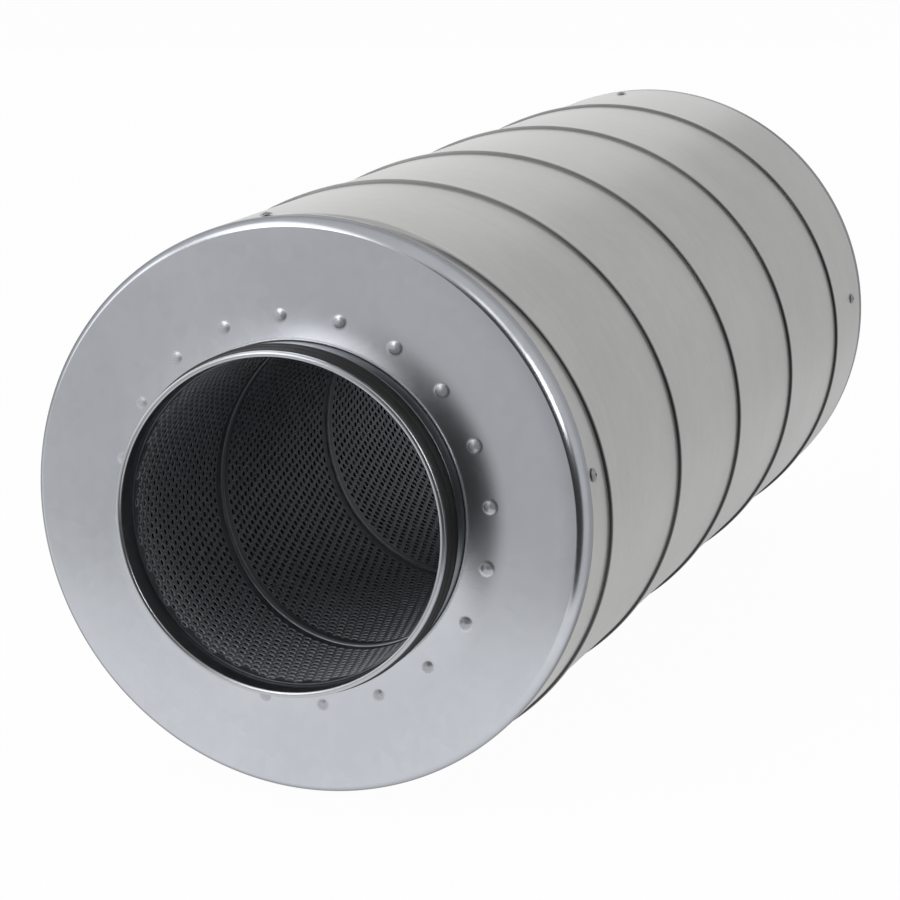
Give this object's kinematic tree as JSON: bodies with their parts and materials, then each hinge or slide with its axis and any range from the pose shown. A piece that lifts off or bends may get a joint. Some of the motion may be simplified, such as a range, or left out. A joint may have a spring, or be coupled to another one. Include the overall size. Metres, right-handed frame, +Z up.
{
  "type": "round duct sound attenuator",
  "caption": "Straight round duct silencer: spiral-wound galvanised casing, pressed end caps, spigot collars with rubber lip seals, and a perforated liner packed in mineral wool.",
  "frame": {"origin": "middle of the air path, halfway between the two spigot mouths", "axes": "+Y along the duct axis from the front end, which the picture shows, to the rear end; +Z up"},
  "size_m": [0.273, 0.66, 0.273],
  "materials": {
    "galvanised_casing": "satin galvanised",
    "galvanised_cap": "satin galvanised",
    "collar_steel": "satin galvanised",
    "seal_rubber": "matt",
    "liner_steel": "perforated, dull",
    "black_fleece": "matt",
    "mineral_wool": "matt",
    "rivet_steel": "dull"
  },
  "bodies": {
    "root": {"casing": "galvanised_casing", "front_end_cap": "galvanised_cap", "rear_end_cap": "galvanised_cap", "front_collar": "collar_steel", "rear_collar": "collar_steel", "front_seal": "seal_rubber", "rear_seal": "seal_rubber", "perforated_liner": "liner_steel", "fleece_wrap": "black_fleece", "mineral_wool": "mineral_wool", "front_rivets": "rivet_steel", "rear_rivets": "rivet_steel"}
  },
  "joints": []
}
